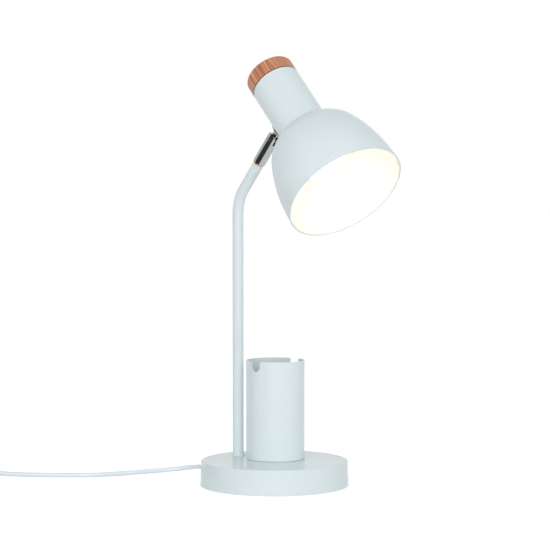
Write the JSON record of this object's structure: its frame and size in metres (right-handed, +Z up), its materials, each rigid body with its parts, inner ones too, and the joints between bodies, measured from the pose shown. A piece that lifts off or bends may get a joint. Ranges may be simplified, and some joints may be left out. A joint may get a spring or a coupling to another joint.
{
  "type": "desk lamp",
  "caption": "Desk lamp with a round weighted base, a pen cup, a bent tube arm, a swivel, and a bell shade on a straight neck with a wooden end cap.",
  "frame": {"origin": "middle of the base, on the surface it stands on", "axes": "+X the way the arm leans, +Z up"},
  "size_m": [0.4919, 0.4024, 0.4601],
  "materials": {
    "satin_white": "satin powder coat",
    "cast_weight": "rough cast, blackened",
    "zinc_steel": "bright zinc plate",
    "dark_pad": "matte, fine grain",
    "cord_white": "smooth flexible sheath",
    "soft_white": "moulded soft plastic, satin",
    "switch_white": "fine moulded texture",
    "rocker_white": "gloss",
    "tie_white": "satin",
    "brass": "polished",
    "polished_metal": "polished nickel",
    "nylon": "natural nylon",
    "wood": "oiled, satin, grain along the axis",
    "holder_white": "moulded, satin",
    "lamp_cap": "rolled, bright",
    "bulb_white": "satin gloss",
    "bulb_opal": "opal, frosted",
    "board": "white solder mask",
    "plug_metal": "nickel plate"
  },
  "bodies": {
    "stand": {"base_cover": "satin_white", "arm_collar": "satin_white", "arm_tube": "satin_white", "pen_cup": "satin_white", "base_weight": "cast_weight", "base_plate": "zinc_steel", "foot_pad": "dark_pad", "plate_screws": "zinc_steel", "foot_nipple": "zinc_steel", "foot_washer": "zinc_steel", "foot_nut": "zinc_steel", "inner_cord": "cord_white", "cord_strain_relief": "soft_white", "cord_clamp": "switch_white", "clamp_screws": "zinc_steel", "cup_washers": "zinc_steel", "cup_screws": "zinc_steel", "swivel_spindle": "brass", "brass_ring": "brass", "swivel_keeper": "brass", "cord_lead": "cord_white", "cord_run": "cord_white", "cord_coil": "cord_white", "cord_end": "cord_white", "cord_tie": "tie_white", "switch_base": "switch_white", "switch_cover": "switch_white", "rocker_axle": "zinc_steel", "switch_contacts": "brass", "switch_screws": "zinc_steel", "plug_relief": "soft_white", "plug_body": "soft_white", "plug_pins": "plug_metal"},
    "sleeve": {"swivel_sleeve": "polished_metal", "sleeve_bush": "brass", "stop_pin": "zinc_steel", "friction_discs": "nylon", "pivot_screw": "polished_metal"},
    "head": {"swivel_tongue": "polished_metal", "stud_saddle": "zinc_steel", "stud_nut": "zinc_steel", "lamp_shade": "satin_white", "wood_cap": "wood", "cap_screws": "zinc_steel", "holder_nipple": "zinc_steel", "holder_nut": "zinc_steel", "holder_spacer": "zinc_steel", "holder_cap": "holder_white", "holder_body": "holder_white", "contact_shell": "brass", "centre_contact": "brass", "bulb_cap": "lamp_cap", "bulb_body": "bulb_white", "bulb_dome": "bulb_opal", "led_board": "board"},
    "rocker": {"switch_rocker": "rocker_white"}
  },
  "joints": [
    {"name": "sleeve_turn", "type": "hinge", "parent": "stand", "child": "sleeve", "pos_m": [-0.00266, 0, 0.37194], "axis": [0.6239, 0, 0.7815], "range_deg": [-148, 159]},
    {"name": "head_tilt", "type": "hinge", "parent": "sleeve", "child": "head", "pos_m": [-0.00266, 0, 0.37194], "axis": [-0.0776, -0.9951, 0.062], "range_deg": [-45, 60]},
    {"name": "switch_rocker_press", "type": "hinge", "parent": "stand", "child": "rocker", "pos_m": [-0.29576, -0.19376, 0.014], "axis": [0.6819, -0.7315, 0], "range_deg": [0, 16]}
  ]
}
